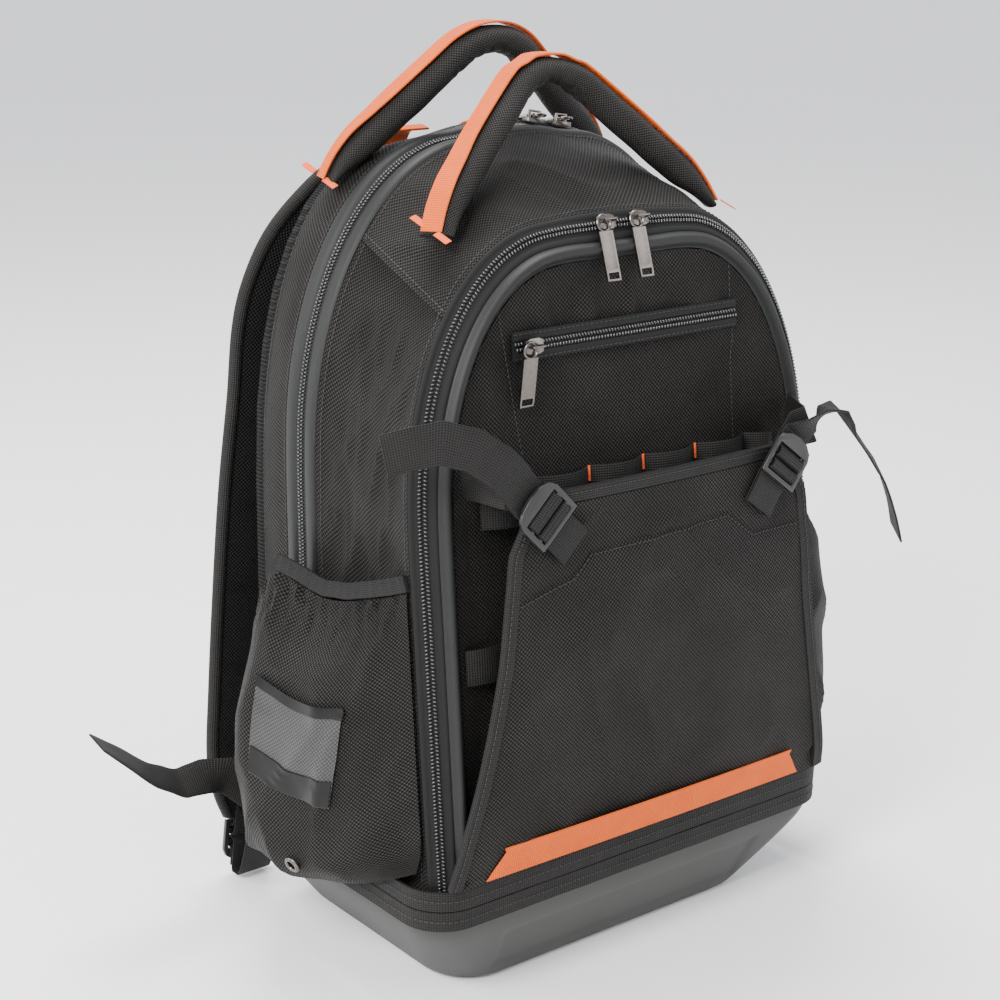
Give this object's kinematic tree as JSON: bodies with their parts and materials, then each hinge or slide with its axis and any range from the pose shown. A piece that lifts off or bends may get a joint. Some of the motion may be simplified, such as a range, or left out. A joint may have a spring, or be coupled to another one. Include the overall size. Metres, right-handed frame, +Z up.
{
  "type": "tool backpack",
  "caption": "Tool backpack with a moulded base tray, arched zips, a strapped front flap, side pockets, carrying handles and padded shoulder straps.",
  "frame": {"origin": "middle of the base tray's flat underside, on the surface the backpack stands on", "axes": "+X to the right as seen from the front, which is the wearer's right side, +Y towards the padded back, +Z up"},
  "size_m": [0.493, 0.2962, 0.5756],
  "materials": {
    "ballistic_fabric": "coarse woven nylon, near-black warm charcoal",
    "handle_fabric": "fine woven nylon over foam, charcoal",
    "spacer_mesh": "padded spacer mesh, charcoal",
    "webbing": "ribbed nylon webbing, dark brown-grey",
    "elastic": "gathered elastic binding, dark grey",
    "zip_tape": "smooth herringbone zip tape with a nylon coil, grey-black",
    "orange_webbing": "ribbed grosgrain, bright orange",
    "tray_rubber": "matte moulded rubber, mid grey",
    "nickel": "gunmetal nickel plate, satin",
    "buckle_plastic": "moulded acetal, satin black",
    "clear_film": "clear flexible film, slightly creased",
    "black_card": "plain black strip"
  },
  "bodies": {
    "pack": {"base_tray": "tray_rubber", "trim_lower": "webbing", "trim_upper": "webbing", "front_panel": "ballistic_fabric", "front_piping": "zip_tape", "front_zip": "zip_tape", "side_panel_left": "ballistic_fabric", "side_panel_right": "ballistic_fabric", "top_panel": "ballistic_fabric", "main_zip": "zip_tape", "back_gusset": "ballistic_fabric", "back_panel": "spacer_mesh", "pocket_zip": "zip_tape", "front_slider_left": "nickel", "front_slider_right": "nickel", "main_slider_left": "nickel", "main_slider_right": "nickel", "pocket_slider": "nickel", "front_flap": "ballistic_fabric", "flap_binding": "webbing", "flap_stripe": "orange_webbing", "tool_loop_band": "webbing", "side_loop_left": "webbing", "side_loop_right": "webbing", "buckle_left": "buckle_plastic", "buckle_right": "buckle_plastic", "flap_tab_left": "webbing", "flap_tab_right": "webbing", "flap_strap_left": "webbing", "flap_strap_right": "webbing", "side_pocket_left": "ballistic_fabric", "side_pocket_right": "ballistic_fabric", "pocket_elastic_left": "elastic", "pocket_elastic_right": "elastic", "eyelet_left": "nickel", "eyelet_right": "nickel", "id_window": "clear_film", "id_label": "black_card", "id_band": "black_card", "handle_front": "handle_fabric", "handle_rear": "handle_fabric", "handle_webbing_front": "orange_webbing", "handle_webbing_rear": "orange_webbing", "shoulder_strap_left": "spacer_mesh", "shoulder_strap_right": "spacer_mesh", "strap_buckle_left": "buckle_plastic", "strap_buckle_right": "buckle_plastic", "strap_webbing_left": "webbing", "strap_webbing_right": "webbing", "strap_yoke_left": "orange_webbing", "strap_yoke_right": "orange_webbing", "waist_strap_left": "webbing", "waist_strap_right": "webbing"},
    "front_left_pull": {"front_pull_left": "nickel"},
    "front_right_pull": {"front_pull_right": "nickel"},
    "main_left_pull": {"main_pull_left": "nickel"},
    "main_right_pull": {"main_pull_right": "nickel"},
    "pocket_zip_pull": {"pocket_pull": "nickel"}
  },
  "joints": [
    {"name": "front_left_swing", "type": "hinge", "parent": "pack", "child": "front_left_pull", "pos_m": [-0.012, -0.08365, 0.46986], "axis": [-1, 0, 0], "range_deg": [0, 40]},
    {"name": "front_right_swing", "type": "hinge", "parent": "pack", "child": "front_right_pull", "pos_m": [0.014, -0.08365, 0.46984], "axis": [-1, 0, 0], "range_deg": [0, 40]},
    {"name": "main_left_swing", "type": "hinge", "parent": "pack", "child": "main_left_pull", "pos_m": [0.02327, 0.03205, 0.52012], "axis": [0.9848, 0, -0.1737], "range_deg": [0, 40]},
    {"name": "main_right_swing", "type": "hinge", "parent": "pack", "child": "main_right_pull", "pos_m": [0.04499, 0.03202, 0.51669], "axis": [0.991, 0, -0.134], "range_deg": [0, 20]},
    {"name": "pocket_swing", "type": "hinge", "parent": "pack", "child": "pocket_zip_pull", "pos_m": [-0.0775, -0.09919, 0.40386], "axis": [-1, 0, 0], "range_deg": [0, 40]}
  ]
}
